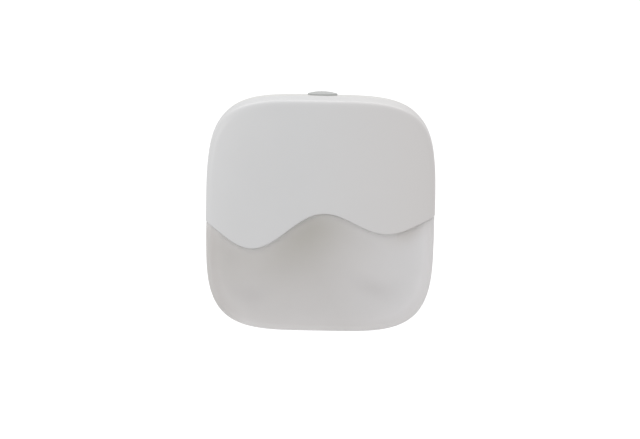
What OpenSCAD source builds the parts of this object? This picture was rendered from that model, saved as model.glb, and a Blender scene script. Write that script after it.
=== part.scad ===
// Plug-in LED night light with a twilight sensor: a flat, nearly square body with rounded corners, carried
// by two round mains pins. An opaque cover with a wavy lower edge lies over a frosted diffuser bowl, the
// bowl snaps into a rear housing with a flat plug boss, and a low window for the light sensor sits on top.
// Every sub-part is drawn lying on its back: X to the right, Y up along the face, Z out of the wall, with
// Z = 0 on the face of the plug. stand() then turns it upright, so that the face looks along -Y.

/* [Body] */
// Width of the body at the seam
body_width = 60; // [56:1:70]
// Height of the body at the seam
body_height = 61; // [57:1:71]
// Exponent of the squircle outline, 2 is a circle
squareness = 4.15; // [3.5:0.05:5]
// Depth from the back face to the middle of the cover
body_depth = 26; // [25:0.5:32]
// Depth of the rear housing, from the back face to the seam
housing_depth = 12; // [11.5:0.25:14]
// Draft angle of the side walls, on both sides of the seam
draft = 1.5; // [0.5:0.25:3]
// Rounding of the cover's front edge
front_edge_r = 2.2; // [1.8:0.1:3]
// Rounding of the rear housing's back edge
rear_edge_r = 2; // [1:0.1:3]
// How far the front face falls back toward its edge
crown_drop = 1.1; // [0.4:0.1:1.6]
// Shadow gap at the seam
seam_gap = 0.3; // [0.2:0.05:0.5]

/* [Cover wave] */
// Mean height of the wavy edge over the middle of the body
wave_mid = -2.6; // [-4:0.1:0]
// Rise of the wave's mean line per millimetre to the right
wave_tilt = 0.08; // [0:0.005:0.12]
// Height of the crest over the mean line
wave_height = 3.6; // [2:0.1:5]
// Loss of height per millimetre to the right
wave_fade = 0.043; // [0:0.001:0.06]
// Distance from crest to crest
wave_pitch = 35.4; // [32:0.2:40]
// Place of the crest to the right of the middle
wave_crest_x = 0.9; // [-3:0.1:3]

/* [Walls and fits] */
// Wall of the opaque cover, which is also its step over the diffuser
cover_wall = 1.2; // [1:0.05:1.5]
// Front wall of the diffuser
diffuser_wall = 1.8; // [1.4:0.1:2.2]
// Side wall of the rear housing
housing_wall = 2.6; // [2.4:0.1:3]
// Back wall of the rear housing
housing_floor = 2.2; // [1.8:0.1:2.6]
// Lip of the rear housing around the diffuser's tongue
lip_wall = 1.3; // [1.2:0.05:1.4]
// Thickness of the diffuser's tongue
tongue_wall = 1.3; // [1.1:0.05:1.4]
// Depth of the diffuser's tongue in the rear housing
tongue_depth = 3.2; // [2.8:0.1:3.6]
// Slip clearance between moulded pieces
slip = 0.15; // [0.1:0.01:0.2]
// Clearance around pins, screws and leads in their own holes
hole_play = 0.03; // [0.02:0.01:0.05]

/* [Snap hooks and stakes] */
// Length of a snap hook along the rim
hook_length = 5; // [4:0.5:7]
// Height of a snap hook along the depth
hook_height = 1.6; // [1.2:0.1:1.9]
// How far a snap hook reaches into the lip
hook_reach = 0.5; // [0.3:0.05:0.6]
// Distance of the snap hooks from the middle of each side
hook_offset = 9; // [7:0.5:11]
// Diameter of the stakes that hold the cover on the diffuser
stake_d = 2.4; // [2:0.1:3]
// Diameter of the flattened stake head
stake_head_d = 4.2; // [3.8:0.1:5]
// Thickness of the flattened stake head
stake_head_t = 0.8; // [0.6:0.1:1.2]
// Distance of the stakes from the middle of the width
stake_x = 18; // [15:0.5:19]
// Height of the upper stakes over the middle
stake_upper_y = 19; // [16:0.5:20]
// Height of the lower stakes over the middle
stake_lower_y = 5; // [4:0.5:9]

/* [Plug] */
// Width of the plug boss
boss_width = 35.3; // [34.6:0.1:36]
// Height of the plug boss
boss_height = 13.7; // [13:0.1:14.4]
// Length of the plug boss, from its face to the body
boss_length = 17; // [16:0.5:18]
// Bevel at the corners of the plug boss
boss_bevel = 4.6; // [4.2:0.1:5]
// Chamfer around the face of the plug boss
boss_chamfer = 0.6; // [0.3:0.1:1]
// Side wall of the plug boss
boss_wall = 2.2; // [1.8:0.1:2.5]
// End wall of the plug boss, which carries the pins
boss_end_wall = 3; // [2.5:0.1:3.5]
// Distance between the pin axes
pin_pitch = 19; // [18:0.1:19.4]
// Diameter of the bare pin
pin_d = 4; // [3.9:0.05:4.8]
// Length of the pins in front of the plug face
pin_length = 19; // [18:0.5:20]
// Length of the bare end of each pin
pin_bare_length = 9; // [8:0.5:10]
// Rounding of the pins' tips
pin_tip_r = 1.2; // [0.8:0.1:1.6]
// Diameter of the insulating sleeve on each pin
pin_sleeve_d = 3.6; // [3.4:0.05:3.7]
// Diameter of the pin's shank under the sleeve
pin_shank_d = 2.8; // [2.5:0.1:2.9]
// Depth to which the sleeve sits in the end wall
pin_sleeve_seat = 1; // [0.8:0.1:1.5]
// Diameter of the collar behind the end wall
pin_collar_d = 5.2; // [4.8:0.1:5.6]
// Thickness of the collar and of the screw boss beside it
pin_collar_t = 1.2; // [1:0.1:1.6]
// Diameter of the pin's tail
pin_tail_d = 2.4; // [2:0.1:2.6]
// Length of the tail above the retainer
pin_tail_length = 3; // [2:0.5:4]
// Thickness of the retainer plate
retainer_t = 2.5; // [2:0.1:3]

/* [Twilight sensor] */
// Diameter of the window
lens_d = 7.8; // [7:0.1:8.4]
// Height of the window's middle over the top wall
lens_rise = 1; // [0.8:0.1:1.6]
// Height of the window's straight side over the top wall
lens_edge = 0.45; // [0.3:0.05:0.6]
// Thickness of the window's rim, let into the top wall
lens_rim_t = 0.5; // [0.4:0.05:0.7]
// Diameter of the window's stem
lens_stem_d = 5; // [4.4:0.1:5.4]
// Distance of the window's axis from the back face
lens_setback = 6; // [5.6:0.1:6.4]
// How far the stem reaches into the body
lens_stem_reach = 1.2; // [0.8:0.1:1.6]
// Thickness of the light-proof sleeve behind the window
shade_wall = 0.6; // [0.4:0.05:0.7]
// Length of the light-proof sleeve
shade_length = 5; // [4:0.25:5.5]
// Thickness of the photoresistor
cell_t = 2; // [1.6:0.1:2.4]
// Distance between the photoresistor's leads
cell_lead_pitch = 2.6; // [2.2:0.1:3]
// Thickness of the rib that cradles the sleeve
cradle_t = 2.4; // [1.5:0.1:3]

/* [Circuit board] */
// Width of the board
board_width = 43; // [42:0.5:45]
// Top edge of the board over the middle of the body
board_top = 19; // [18.5:0.25:20]
// Lower edge of the board under the middle of the body
board_bottom = 19.3; // [19:0.1:20]
// Width of the tab at the lower edge
board_tab_width = 27; // [26:0.5:31]
// Depth of the tab under the lower edge
board_tab_depth = 1.9; // [1.5:0.1:2.4]
// Corner radius of the board
board_corner_r = 1.5; // [0.5:0.1:2]
// Thickness of the board
board_t = 1.6; // [1.2:0.1:2]
// Height of the board over the back wall
board_lift = 8.4; // [8.2:0.1:9]
// Distance of the board screws from the middle of the width
screw_x = 11.5; // [11:0.1:12]
// Distance of the board screws under the middle of the height
screw_y = 18.4; // [18:0.1:18.6]
// Distance of the locating posts from the middle of the width
post_x = 18.9; // [18.6:0.1:19.2]
// Height of the locating posts over the middle
post_y = 16.2; // [15.5:0.1:16.5]
// Diameter of the screw pillars
pillar_d = 5; // [4.6:0.1:5.2]
// Diameter of the locating posts
post_d = 3.6; // [3:0.1:4]
// Diameter of the locating peg on each post
peg_d = 2; // [1.6:0.1:2.2]
// Thread diameter of the screws
screw_d = 1.8; // [1.6:0.1:2]
// Thread length of the screws under the head
screw_length = 6; // [5:0.25:6.5]
// Thread length of the retainer's screw under the head
retainer_screw_length = 5; // [4:0.25:5.25]
// Diameter of the screw heads
screw_head_d = 3.8; // [3.4:0.1:4]
// Height of the screw heads
screw_head_t = 1.2; // [1:0.1:1.6]

/* [Components] */
// Height of the row of LEDs under the middle of the body
led_row_y = 13; // [12:0.25:14]
// Distance between neighbouring LEDs
led_pitch = 10; // [9:0.25:11]
// Gap between the parts along the board's upper edge and that edge
board_margin = 1.5; // [1:0.1:2]
// Width of an LED package
led_width = 2.8; // [2.6:0.1:3.2]
// Length of an LED package
led_length = 3.5; // [3.2:0.1:3.8]
// Thickness of an LED package
led_t = 0.8; // [0.6:0.05:1]
// Diameter of the well in an LED package
led_well_d = 2.1; // [1.8:0.1:2.3]
// Width of the dropper capacitor
film_width = 13; // [12:0.25:13]
// Height of the dropper capacitor as it lies on the board
film_t = 6; // [5:0.25:6.5]
// Length of the dropper capacitor without its leads
film_length = 10; // [9:0.25:10.5]
// Distance between the dropper capacitor's leads
film_lead_pitch = 10; // [9:0.25:10.5]
// Diameter of the smoothing capacitor
can_d = 6.3; // [5:0.1:6.6]
// Length of the smoothing capacitor
can_length = 11; // [10:0.25:12]
// Distance between the smoothing capacitor's leads
can_lead_pitch = 2.5; // [2:0.1:3]
// Width of the crimped groove around the smoothing capacitor
can_groove_width = 0.8; // [0.5:0.1:1]
// Depth of the crimped groove
can_groove_depth = 0.3; // [0.2:0.05:0.4]
// Diameter of the inrush resistor
inrush_d = 3.4; // [3:0.1:3.8]
// Length of the inrush resistor
inrush_length = 9; // [8:0.25:9.5]
// Diameter of the bleed resistor
bleed_d = 2.4; // [2:0.1:2.8]
// Length of the bleed resistor
bleed_length = 6.3; // [5.5:0.1:7]
// Diameter of the zener diode
zener_d = 2.6; // [2.2:0.1:2.8]
// Length of the zener diode
zener_length = 4.6; // [4:0.1:5]
// Distance between neighbouring leads of the transistor, and between the bridge rectifier's legs
small_lead_pitch = 1.27; // [1.2:0.01:1.4]
// Diameter of the transistor's round side
transistor_d = 4.6; // [4.2:0.1:5]
// Distance of the transistor's flat side from its axis
transistor_flat = 1.3; // [1.1:0.1:1.6]
// Height of the transistor's body
transistor_height = 4.6; // [4.2:0.1:5]
// Gap between the transistor's body and the board
transistor_standoff = 1.5; // [1:0.1:2]
// Diameter of the component leads
lead_d = 0.6; // [0.5:0.05:0.7]
// Inside radius of the bends in the leads
lead_bend_r = 0.9; // [0.7:0.05:1]
// How far leads stand out of the front of the board
lead_stub = 0.8; // [0.5:0.1:1.2]
// Outer diameter of the insulated wires
wire_d = 1.4; // [1.2:0.1:1.6]

/* [Hidden] */

$fn = 48;
// Steps around the outline, along an edge rounding and across the crown
outline_steps = 72;
edge_steps = 5;
crown_steps = 6;
// Degrees by which the outline's points are drawn toward the corners, where it bends most
corner_pull = 5.7;
// Sharpness with which the crown falls away, and the half width at which it has fallen by crown_drop
crown_power = 6;
crown_reach = body_width / 2 - front_edge_r;
// Half width inside which the diffuser's ledge runs straight to the middle
ledge_stop = crown_reach - 0.1;
// Overlap by which cutting tools run past the face that they open
past = 1;
// Height of the snap hooks over the end of the tongue, and the flat behind their ramp
hook_lift = 0.6;
hook_flat = 0.4;
// Chamfer inside the tray, between its floor and its walls
floor_chamfer = 1;
// Side walls of the cradle's notch, its distance behind the top wall and its height over the sleeve's axis
cradle_side = 1.4;
cradle_back = 1;
cradle_rise = 1;
// Room under the tip of a screw in its blind hole
tip_room = 0.4;
// Distance that a radial lead runs beside its body before it bends to the board
lead_run = 1.6;
// Length and width of the crossed slots in the screw heads
slot_length = screw_head_d * 0.64;
slot_width = 0.5;
// Distance of the capacitor's groove from the end with the leads
can_groove_at = 1.2;
// Body of the bridge rectifier and one of its legs, as width, length and height
bridge_body = [4.7, 3.9, 2.5];
bridge_leg = [0.7, 1.1, 0.25];

// Levels along the depth, from the plug face outward
back_z = boss_length;
floor_z = back_z + housing_floor;
seam_z = back_z + housing_depth;
shell_z = seam_z + seam_gap;
front_z = back_z + body_depth;
seat_z = front_z - cover_wall - slip;
ceiling_z = seat_z - diffuser_wall;
root_z = back_z + housing_floor / 2;
tongue_z = seam_z - tongue_depth;
shelf_z = tongue_z - seam_gap;
board_z = floor_z + board_lift;
board_front_z = board_z + board_t;
lens_z = back_z + lens_setback;

// Half widths at the seam of the surfaces that nest in each other
half_size = body_width / 2;
// Length by which every half height exceeds the half width, so that walls are as thick above as beside
tall = (body_height - body_width) / 2;
cover_inner_half = half_size - cover_wall;
seat_half = cover_inner_half - slip;
diffuser_half = half_size - slip;
tongue_half = half_size - lip_wall - slip;
hollow_half = tongue_half - tongue_wall;

// Top wall at the sensor, and the stations along the sensor's axis
top_wall_y = rear_half(lens_z) + tall;
lens_seat_y = top_wall_y - lens_rim_t;
stem_end_y = top_wall_y - housing_wall - lens_stem_reach;
cell_top_y = stem_end_y - slip;
cell_back_y = cell_top_y - cell_t;
shade_top_y = top_wall_y - housing_wall - slip;
cell_d = lens_stem_d;
shade_bore_r = lens_stem_d / 2 + hole_play;
shade_r = shade_bore_r + shade_wall;

// Stations along the pins
collar_z = boss_end_wall + pin_collar_t;
retainer_top_z = collar_z + retainer_t;
pin_end_z = retainer_top_z + pin_tail_length;

// Places of the components on the board
film_x = -9.5;
film_y = board_top - board_margin - film_length / 2;
can_x = 9;
can_y = 12.5;
bridge_place = [15, 4.5];
inrush_place = [-11, -6.9];
bleed_place = [-11, -10.4];
zener_place = [4.5, -14.5];
transistor_place = [8, -8];
cell_lead_y = board_top - board_margin - lead_d / 2;
wire_pad_x = 6.5;
wire_pad_y = 1.5;

// Distance between the two leads of each axial component
inrush_span = inrush_length + 5;
bleed_span = bleed_length + 4;
zener_span = zener_length + 4;

// ---------------------------------------------------------------- outline, crown and lofts

// Point at angle a on the squircle with the given half width
function squircle_point(half, a) =
    [half * cos(a), (half + tall) * sin(a)]
    / pow(pow(abs(cos(a)), squareness) + pow(abs(sin(a)), squareness), 1 / squareness);

// Half width of the squircle that passes near the point
function squircle_half(x, y) =
    pow(pow(abs(x), squareness) + pow(abs(y) - tall, squareness), 1 / squareness);

// Angles of the outline's points, closer together at the corners, over two turns
outline_angles = [for (i = [0 : 2 * outline_steps - 1])
    360 * i / outline_steps + corner_pull * sin(4 * 360 * i / outline_steps)];
one_turn = [for (i = [0 : outline_steps - 1]) outline_angles[i]];

// Ring of points at the profile point [half width, height]
function ring(at, angles) = [for (a = angles) concat(squircle_point(at[0], a), at[1])];

// Half width of the side wall in front of the seam and behind it
function front_half(half, z) = half - (z - seam_z) * tan(draft);
function rear_half(z) = half_size - (seam_z - z) * tan(draft);

// Height of a crowned face with its middle at the height top, and its slope, at a half width
function crown(half, top) = top - crown_drop * pow(half / crown_reach, crown_power);
function crown_slope(half) =
    atan(crown_drop * crown_power / crown_reach * pow(half / crown_reach, crown_power - 1));

// Half width at which the crown of a bowl meets its edge rounding r, settled in a few passes
function crown_end(half, top, r, guess, passes = 4) =
    passes == 0 ? guess
    : let (slope = crown_slope(guess),
           z = crown(guess, top) - r * cos(slope) + r * sin(draft))
      crown_end(half, top, r, front_half(half, z) - r * (cos(draft) - sin(slope)), passes - 1);

// Profile of a bowl from its rim to beside the middle of its crown, as [half width, height]
function bowl_profile(half, top, r, rim) =
    let (end = crown_end(half, top, r, half - r),
         slope = crown_slope(end),
         middle = [end - r * sin(slope), crown(end, top) - r * cos(slope)],
         sweep = 90 - draft - slope)
    concat(
        [[front_half(half, rim), rim]],
        [for (i = [0 : edge_steps])
            let (a = 90 - draft - sweep * i / edge_steps) middle + r * [sin(a), cos(a)]],
        [for (i = [1 : crown_steps - 1])
            let (at = end * (1 - pow(i / crown_steps, 1.5))) [at, crown(at, top)]]);

// List with its order turned round
function backward(list) = [for (i = [len(list) - 1 : -1 : 0]) list[i]];

// Closed solid through rings of equal length, from the pole at the height first to the pole at last
module loft(rings, first, last) {
    n = len(rings[0]);
    m = len(rings);
    points = concat([for (r = rings) each r], [[0, 0, first], [0, 0, last]]);
    sides = [for (j = [0 : m - 2], i = [0 : n - 1])
        let (k = (i + 1) % n) [j * n + i, j * n + k, (j + 1) * n + k, (j + 1) * n + i]];
    first_cap = [for (i = [0 : n - 1]) [m * n, (i + 1) % n, i]];
    last_cap = [for (i = [0 : n - 1]) [m * n + 1, (m - 1) * n + i, (m - 1) * n + (i + 1) % n]];
    polyhedron(points = points, faces = [for (f = concat(sides, first_cap, last_cap)) backward(f)]);
}

// Height of the cover's wavy edge at x
function wave(x) =
    wave_mid + wave_tilt * x + (wave_height - wave_fade * x) * cos(360 * (x - wave_crest_x) / wave_pitch);

// Angle at which the diffuser's ledge under the wave lies, on the right and on the left side of a ring.
// Inside the side walls' thickness the ledge follows the wave, and farther in it stays radial.
function right_ledge(half) =
    let (x = max(half, ledge_stop)) atan((wave(x) - slip) / (x + tall));
function left_ledge(half) =
    let (x = max(half, ledge_stop)) 180 - atan((wave(-x) - slip) / (x + tall));

// ---------------------------------------------------------------- shared shapes

// Turns what is drawn lying on its back so that its face looks along -Y
module stand() {
    rotate([90, 0, 0]) children();
}

// Rectangle with bevelled corners, the plug boss seen from its face
module bevelled_rectangle(w, h, bevel) {
    polygon([
        [w / 2, h / 2 - bevel], [w / 2 - bevel, h / 2], [bevel - w / 2, h / 2], [-w / 2, h / 2 - bevel],
        [-w / 2, bevel - h / 2], [bevel - w / 2, -h / 2], [w / 2 - bevel, -h / 2], [w / 2, bevel - h / 2]
    ]);
}

// Side view of the boss along one of its widths, with the chamfer at its face
module boss_side(w, top) {
    polygon([
        [boss_chamfer - w / 2, 0], [w / 2 - boss_chamfer, 0], [w / 2, boss_chamfer],
        [w / 2, top], [-w / 2, top], [-w / 2, boss_chamfer]
    ]);
}

// Wire lead that runs along X for run, bends toward Z and ends at the height rise
module bent_lead(run, rise) {
    rotate([0, 90, 0]) cylinder(d = lead_d, h = run - lead_bend_r);
    translate([run - lead_bend_r, 0, lead_bend_r])
        rotate([90, 0, 0])
            rotate([0, 0, -90])
                rotate_extrude(angle = 90)
                    translate([lead_bend_r, 0]) circle(d = lead_d);
    translate([run, 0, lead_bend_r]) cylinder(d = lead_d, h = rise - lead_bend_r);
}

// Round body along X with a bent lead at each end, lying on the board with its leads span apart
module axial_component(place, d, length, span) {
    axis_z = board_z - d / 2 - slip;
    translate([place[0], place[1], axis_z]) {
        rotate([0, 90, 0]) cylinder(d = d, h = length, center = true);
        for (side = [0, 180])
            rotate([0, 0, side])
                translate([length / 2, 0, 0])
                    bent_lead((span - length) / 2, board_front_z + lead_stub - axis_z);
    }
}

// Pan-head screw whose head rests on the plane Z = 0 and whose thread points down
module pan_screw(length) {
    difference() {
        union() {
            translate([0, 0, -length]) cylinder(d = screw_d, h = length);
            cylinder(d = screw_head_d, h = screw_head_t);
        }
        translate([0, 0, screw_head_t / 2])
            for (turn = [0, 90])
                rotate([0, 0, turn])
                    translate([-slot_length / 2, -slot_width / 2, 0])
                        cube([slot_length, slot_width, screw_head_t]);
    }
}

// Places of every lead that passes through the board, as [x, y]
lead_places = concat(
    [for (s = [-1, 1]) [film_x + s * film_lead_pitch / 2, film_y - film_length / 2 - lead_run]],
    [for (s = [-1, 1]) [can_x - can_length / 2 - lead_run, can_y + s * can_lead_pitch / 2]],
    [for (s = [-1, 1]) inrush_place + [s * inrush_span / 2, 0]],
    [for (s = [-1, 1]) bleed_place + [s * bleed_span / 2, 0]],
    [for (s = [-1, 1]) zener_place + [s * zener_span / 2, 0]],
    [for (s = [-1, 0, 1]) transistor_place + [s * small_lead_pitch, 0]],
    [for (s = [-1, 1]) [s * cell_lead_pitch / 2, cell_lead_y]]);

// ---------------------------------------------------------------- housing

// Tray with a rounded back edge, drafted walls and a thin lip that takes the diffuser's tongue
module housing_tray() {
    base_half = rear_half(back_z + rear_edge_r);
    outside = concat(
        [for (i = [0 : edge_steps])
            let (a = 90 * i / edge_steps)
            [base_half - rear_edge_r * (1 - sin(a)), back_z + rear_edge_r * (1 - cos(a))]],
        [[half_size, seam_z]]);
    inside = [
        [half_size - lip_wall, seam_z],
        [rear_half(shelf_z) - lip_wall, shelf_z],
        [rear_half(shelf_z) - housing_wall, shelf_z],
        [rear_half(floor_z + floor_chamfer) - housing_wall, floor_z + floor_chamfer],
        [rear_half(floor_z) - housing_wall - floor_chamfer, floor_z]
    ];
    loft([for (at = concat(outside, inside)) ring(at, one_turn)], back_z, floor_z);
}

// Flat plug boss with bevelled corners and a chamfered face
module boss_block() {
    intersection() {
        linear_extrude(root_z) bevelled_rectangle(boss_width, boss_height, boss_bevel);
        rotate([90, 0, 0])
            linear_extrude(boss_height + 2 * past, center = true) boss_side(boss_width, root_z + past);
        rotate([90, 0, 90])
            linear_extrude(boss_width + 2 * past, center = true) boss_side(boss_height, root_z + past);
    }
}

// Rib with a round notch, open to the front, that cradles the sensor's sleeve behind the top wall
module sensor_cradle() {
    half = shade_r + cradle_side;
    translate([-half, shade_top_y - cradle_back - cradle_t, root_z])
        cube([2 * half, cradle_t, lens_z + cradle_rise - root_z]);
}

module rear_housing() {
    color("#eceae6")
    stand()
    difference() {
        union() {
            housing_tray();
            boss_block();
            sensor_cradle();
            for (s = [-1, 1]) {
                translate([s * screw_x, -screw_y, root_z]) cylinder(d = pillar_d, h = board_z - root_z);
                translate([s * post_x, post_y, root_z]) {
                    cylinder(d = post_d, h = board_z - root_z);
                    cylinder(d = peg_d, h = board_front_z + lead_stub - root_z);
                }
            }
        }
        // Hollow of the boss, open to the inside of the tray, around the retainer's screw boss
        difference() {
            translate([0, 0, boss_end_wall])
                linear_extrude(floor_z - boss_end_wall + past)
                    bevelled_rectangle(boss_width - 2 * boss_wall, boss_height - 2 * boss_wall,
                        boss_bevel - boss_wall * (2 - sqrt(2)));
            cylinder(d = pillar_d, h = collar_z);
        }
        // Blind hole for the retainer's screw
        translate([0, 0, retainer_top_z - retainer_screw_length - tip_room])
            cylinder(d = screw_d + 2 * hole_play, h = retainer_screw_length + tip_room);
        // Stepped holes for the pins and their sleeves
        for (s = [-1, 1])
            translate([s * pin_pitch / 2, 0, 0]) {
                translate([0, 0, -past]) cylinder(d = pin_shank_d + 2 * hole_play, h = collar_z + past);
                translate([0, 0, -past])
                    cylinder(d = pin_sleeve_d + 2 * hole_play, h = pin_sleeve_seat + hole_play + past);
            }
        // Pilot holes for the board screws
        for (s = [-1, 1])
            translate([s * screw_x, -screw_y, board_front_z - screw_length - tip_room])
                cylinder(d = screw_d + 2 * hole_play, h = screw_length + tip_room);
        // Hole and flat seat for the sensor window, and the notch of its cradle
        translate([0, 0, lens_z])
            rotate([-90, 0, 0]) {
                translate([0, 0, lens_seat_y - housing_wall - past])
                    cylinder(d = lens_stem_d + 2 * slip, h = housing_wall + 2 * past);
                translate([0, 0, lens_seat_y]) cylinder(d = lens_d + 2 * slip, h = lens_rim_t + past);
                translate([0, 0, shade_top_y - cradle_back - cradle_t - past])
                    cylinder(r = shade_r + slip, h = cradle_t + cradle_back + past);
            }
        translate([-shade_r - slip, shade_top_y - cradle_back - cradle_t - past, lens_z])
            cube([2 * (shade_r + slip), cradle_t + cradle_back + past, cradle_rise + past]);
        // Pockets in the lip for the diffuser's snap hooks
        for (turn = [0, 180], s = [-1, 1])
            rotate([0, 0, turn])
                translate([tongue_half - tongue_wall / 2, s * hook_offset - hook_length / 2 - 2 * slip,
                        tongue_z + hook_lift - slip])
                    cube([tongue_wall / 2 + hook_reach + 2 * slip, hook_length + 4 * slip,
                        hook_height + 2 * slip]);
    }
}

// ---------------------------------------------------------------- diffuser and cover

// Wedge-shaped snap hook on the outside of the tongue, pointing to +X
module snap_hook() {
    rotate([90, 0, 0])
        linear_extrude(hook_length, center = true)
            polygon([
                [-tongue_wall / 2, 0], [0, 0], [slip + hook_reach, hook_height - hook_flat],
                [slip + hook_reach, hook_height], [-tongue_wall / 2, hook_height]
            ]);
}

// Frosted bowl. Above the wave's ends its side wall steps in to make the cover's seat, below them it is
// flush with the cover, and its front lies one cover wall behind the cover's front everywhere.
module diffuser() {
    // Half angle taken by the ledge between the two zones, and the angle kept clear of points beside it
    split = 0.35;
    clear = 1.5;
    lower_angles = [for (a = outline_angles)
        if (a > left_ledge(ledge_stop) + clear && a < 360 + right_ledge(ledge_stop) - clear) a];
    upper_angles = [for (a = one_turn)
        if (a > right_ledge(seat_half) + clear && a < left_ledge(seat_half) - clear) a];
    exposed = bowl_profile(diffuser_half, seat_z, front_edge_r - slip, shell_z);
    covered = bowl_profile(seat_half, seat_z, front_edge_r - cover_wall - slip, shell_z);
    hollow = bowl_profile(hollow_half, ceiling_z, front_edge_r - slip, shell_z);
    tongue_outside = [tongue_half - (seam_z - tongue_z) * tan(draft), tongue_z];
    tongue_inside = [hollow_half - (seam_z - tongue_z) * tan(draft), tongue_z];
    function two_zone_ring(low, high) = concat(
        ring(low, concat([left_ledge(low[0]) + split], lower_angles, [360 + right_ledge(low[0]) - split])),
        ring(high, concat([right_ledge(high[0]) + split], upper_angles, [left_ledge(high[0]) - split])));
    rings = concat(
        [for (at = backward(hollow)) two_zone_ring(at, at)],
        [for (at = [tongue_inside, tongue_outside, [tongue_half, shell_z]]) two_zone_ring(at, at)],
        [for (i = [0 : len(exposed) - 1]) two_zone_ring(exposed[i], covered[i])]);
    color("#dfe0de", 0.85)
    stand()
    difference() {
        union() {
            loft(rings, ceiling_z, seat_z);
            for (turn = [0, 180], s = [-1, 1])
                rotate([0, 0, turn])
                    translate([tongue_half, s * hook_offset, tongue_z + hook_lift]) snap_hook();
        }
        for (s = [-1, 1], y = [stake_upper_y, stake_lower_y])
            translate([s * stake_x, y, ceiling_z - 2 * past])
                cylinder(d = stake_d + 2 * slip, h = diffuser_wall + 4 * past);
    }
}

// Stake under the cover's front, with its head flattened behind the diffuser's wall
module stake(x, y) {
    fall = crown(squircle_half(x, y) + stake_head_d / 2, 0);
    head_z = ceiling_z + fall - slip;
    translate([x, y, head_z - stake_head_t]) {
        cylinder(d = stake_head_d, h = stake_head_t);
        cylinder(d = stake_d, h = front_z - cover_wall / 2 + fall - head_z + stake_head_t);
    }
}

// Opaque cap over the upper part of the diffuser, cut off along the wave
module front_cover() {
    outside = bowl_profile(half_size, front_z, front_edge_r, shell_z);
    inside = bowl_profile(cover_inner_half, front_z - cover_wall, front_edge_r - cover_wall, shell_z);
    rings = [for (at = concat(backward(inside), outside)) ring(at, one_turn)];
    reach = half_size + past;
    color("#f4f3f1")
    stand() {
        difference() {
            loft(rings, front_z - cover_wall, front_z);
            translate([0, 0, shell_z - past])
                linear_extrude(front_z - shell_z + 2 * past)
                    polygon(concat(
                        [for (i = [0 : outline_steps])
                            let (x = reach * (2 * i / outline_steps - 1)) [x, wave(x)]],
                        [[reach, -reach - tall], [-reach, -reach - tall]]));
        }
        for (s = [-1, 1], y = [stake_upper_y, stake_lower_y]) stake(s * stake_x, y);
    }
}

// ---------------------------------------------------------------- twilight sensor

// Low window with a domed top, a rim let into the top wall and a stem that guides light to the cell
module sensor_window() {
    rim_r = lens_d / 2;
    dome = lens_rise - lens_edge;
    dome_r = (rim_r * rim_r + dome * dome) / (2 * dome);
    color("#8f9390", 0.8)
    stand()
    translate([0, 0, lens_z])
        rotate([-90, 0, 0]) {
            translate([0, 0, lens_seat_y]) cylinder(r = rim_r, h = lens_rim_t + lens_edge);
            intersection() {
                translate([0, 0, top_wall_y + lens_rise - dome_r]) sphere(r = dome_r);
                translate([0, 0, top_wall_y + lens_edge]) cylinder(r = rim_r + past, h = dome + past);
            }
            translate([0, 0, stem_end_y]) cylinder(d = lens_stem_d, h = lens_seat_y - stem_end_y);
        }
}

// Light-proof tube around the stem and the photoresistor
module sensor_sleeve() {
    color("#202022")
    stand()
    translate([0, shade_top_y - shade_length, lens_z])
        rotate([-90, 0, 0])
            difference() {
                cylinder(r = shade_r, h = shade_length);
                translate([0, 0, -past]) cylinder(r = shade_bore_r, h = shade_length + 2 * past);
            }
}

// Photoresistor disc that looks up through the window, with two leads bent to the board
module photoresistor() {
    color("#b8562e")
    stand()
    translate([0, cell_back_y, lens_z]) {
        rotate([-90, 0, 0]) cylinder(d = cell_d, h = cell_t);
        for (s = [-1, 1])
            translate([s * cell_lead_pitch / 2, 0, 0])
                rotate([0, 0, -90])
                    bent_lead(cell_back_y - cell_lead_y, board_front_z + lead_stub - lens_z);
    }
}

// ---------------------------------------------------------------- plug

// Round contact pin: bare end with a rounded tip, shank under the sleeve, collar and tail
module contact_pin(x) {
    r = pin_d / 2;
    tip_steps = 6;
    color("#c9c6bd")
    stand()
    translate([x, 0, 0])
        rotate_extrude()
            polygon(concat(
                [[0, -pin_length]],
                [for (i = [0 : tip_steps])
                    let (a = 90 * i / tip_steps)
                    [r - pin_tip_r * (1 - sin(a)), pin_tip_r * (1 - cos(a)) - pin_length]],
                [
                    [r, pin_bare_length - pin_length], [pin_shank_d / 2, pin_bare_length - pin_length],
                    [pin_shank_d / 2, boss_end_wall], [pin_collar_d / 2, boss_end_wall],
                    [pin_collar_d / 2, collar_z], [pin_tail_d / 2, collar_z],
                    [pin_tail_d / 2, pin_end_z], [0, pin_end_z]
                ]));
}

module pin_left() {
    contact_pin(-pin_pitch / 2);
}

module pin_right() {
    contact_pin(pin_pitch / 2);
}

// Insulating sleeve between the bare end of a pin and the end wall of the boss
module pin_sleeve(x) {
    length = pin_length - pin_bare_length + pin_sleeve_seat;
    color("#f1f0ec")
    stand()
    translate([x, 0, pin_bare_length - pin_length])
        difference() {
            cylinder(d = pin_sleeve_d, h = length);
            translate([0, 0, -past]) cylinder(d = pin_shank_d + 2 * hole_play, h = length + 2 * past);
        }
}

module pin_sleeve_left() {
    pin_sleeve(-pin_pitch / 2);
}

module pin_sleeve_right() {
    pin_sleeve(pin_pitch / 2);
}

// Plate that presses the collars of both pins against the end wall
module pin_retainer() {
    inner_w = boss_width - 2 * boss_wall - 2 * slip;
    inner_h = boss_height - 2 * boss_wall - 2 * slip;
    color("#d9d4c4")
    stand()
    translate([0, 0, collar_z])
        difference() {
            linear_extrude(retainer_t)
                bevelled_rectangle(inner_w, inner_h, boss_bevel - boss_wall * (2 - sqrt(2)));
            for (s = [-1, 1])
                translate([s * pin_pitch / 2, 0, -past])
                    cylinder(d = pin_tail_d + 2 * slip, h = retainer_t + 2 * past);
            translate([0, 0, -past]) cylinder(d = screw_d + 2 * slip, h = retainer_t + 2 * past);
        }
}

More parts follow.
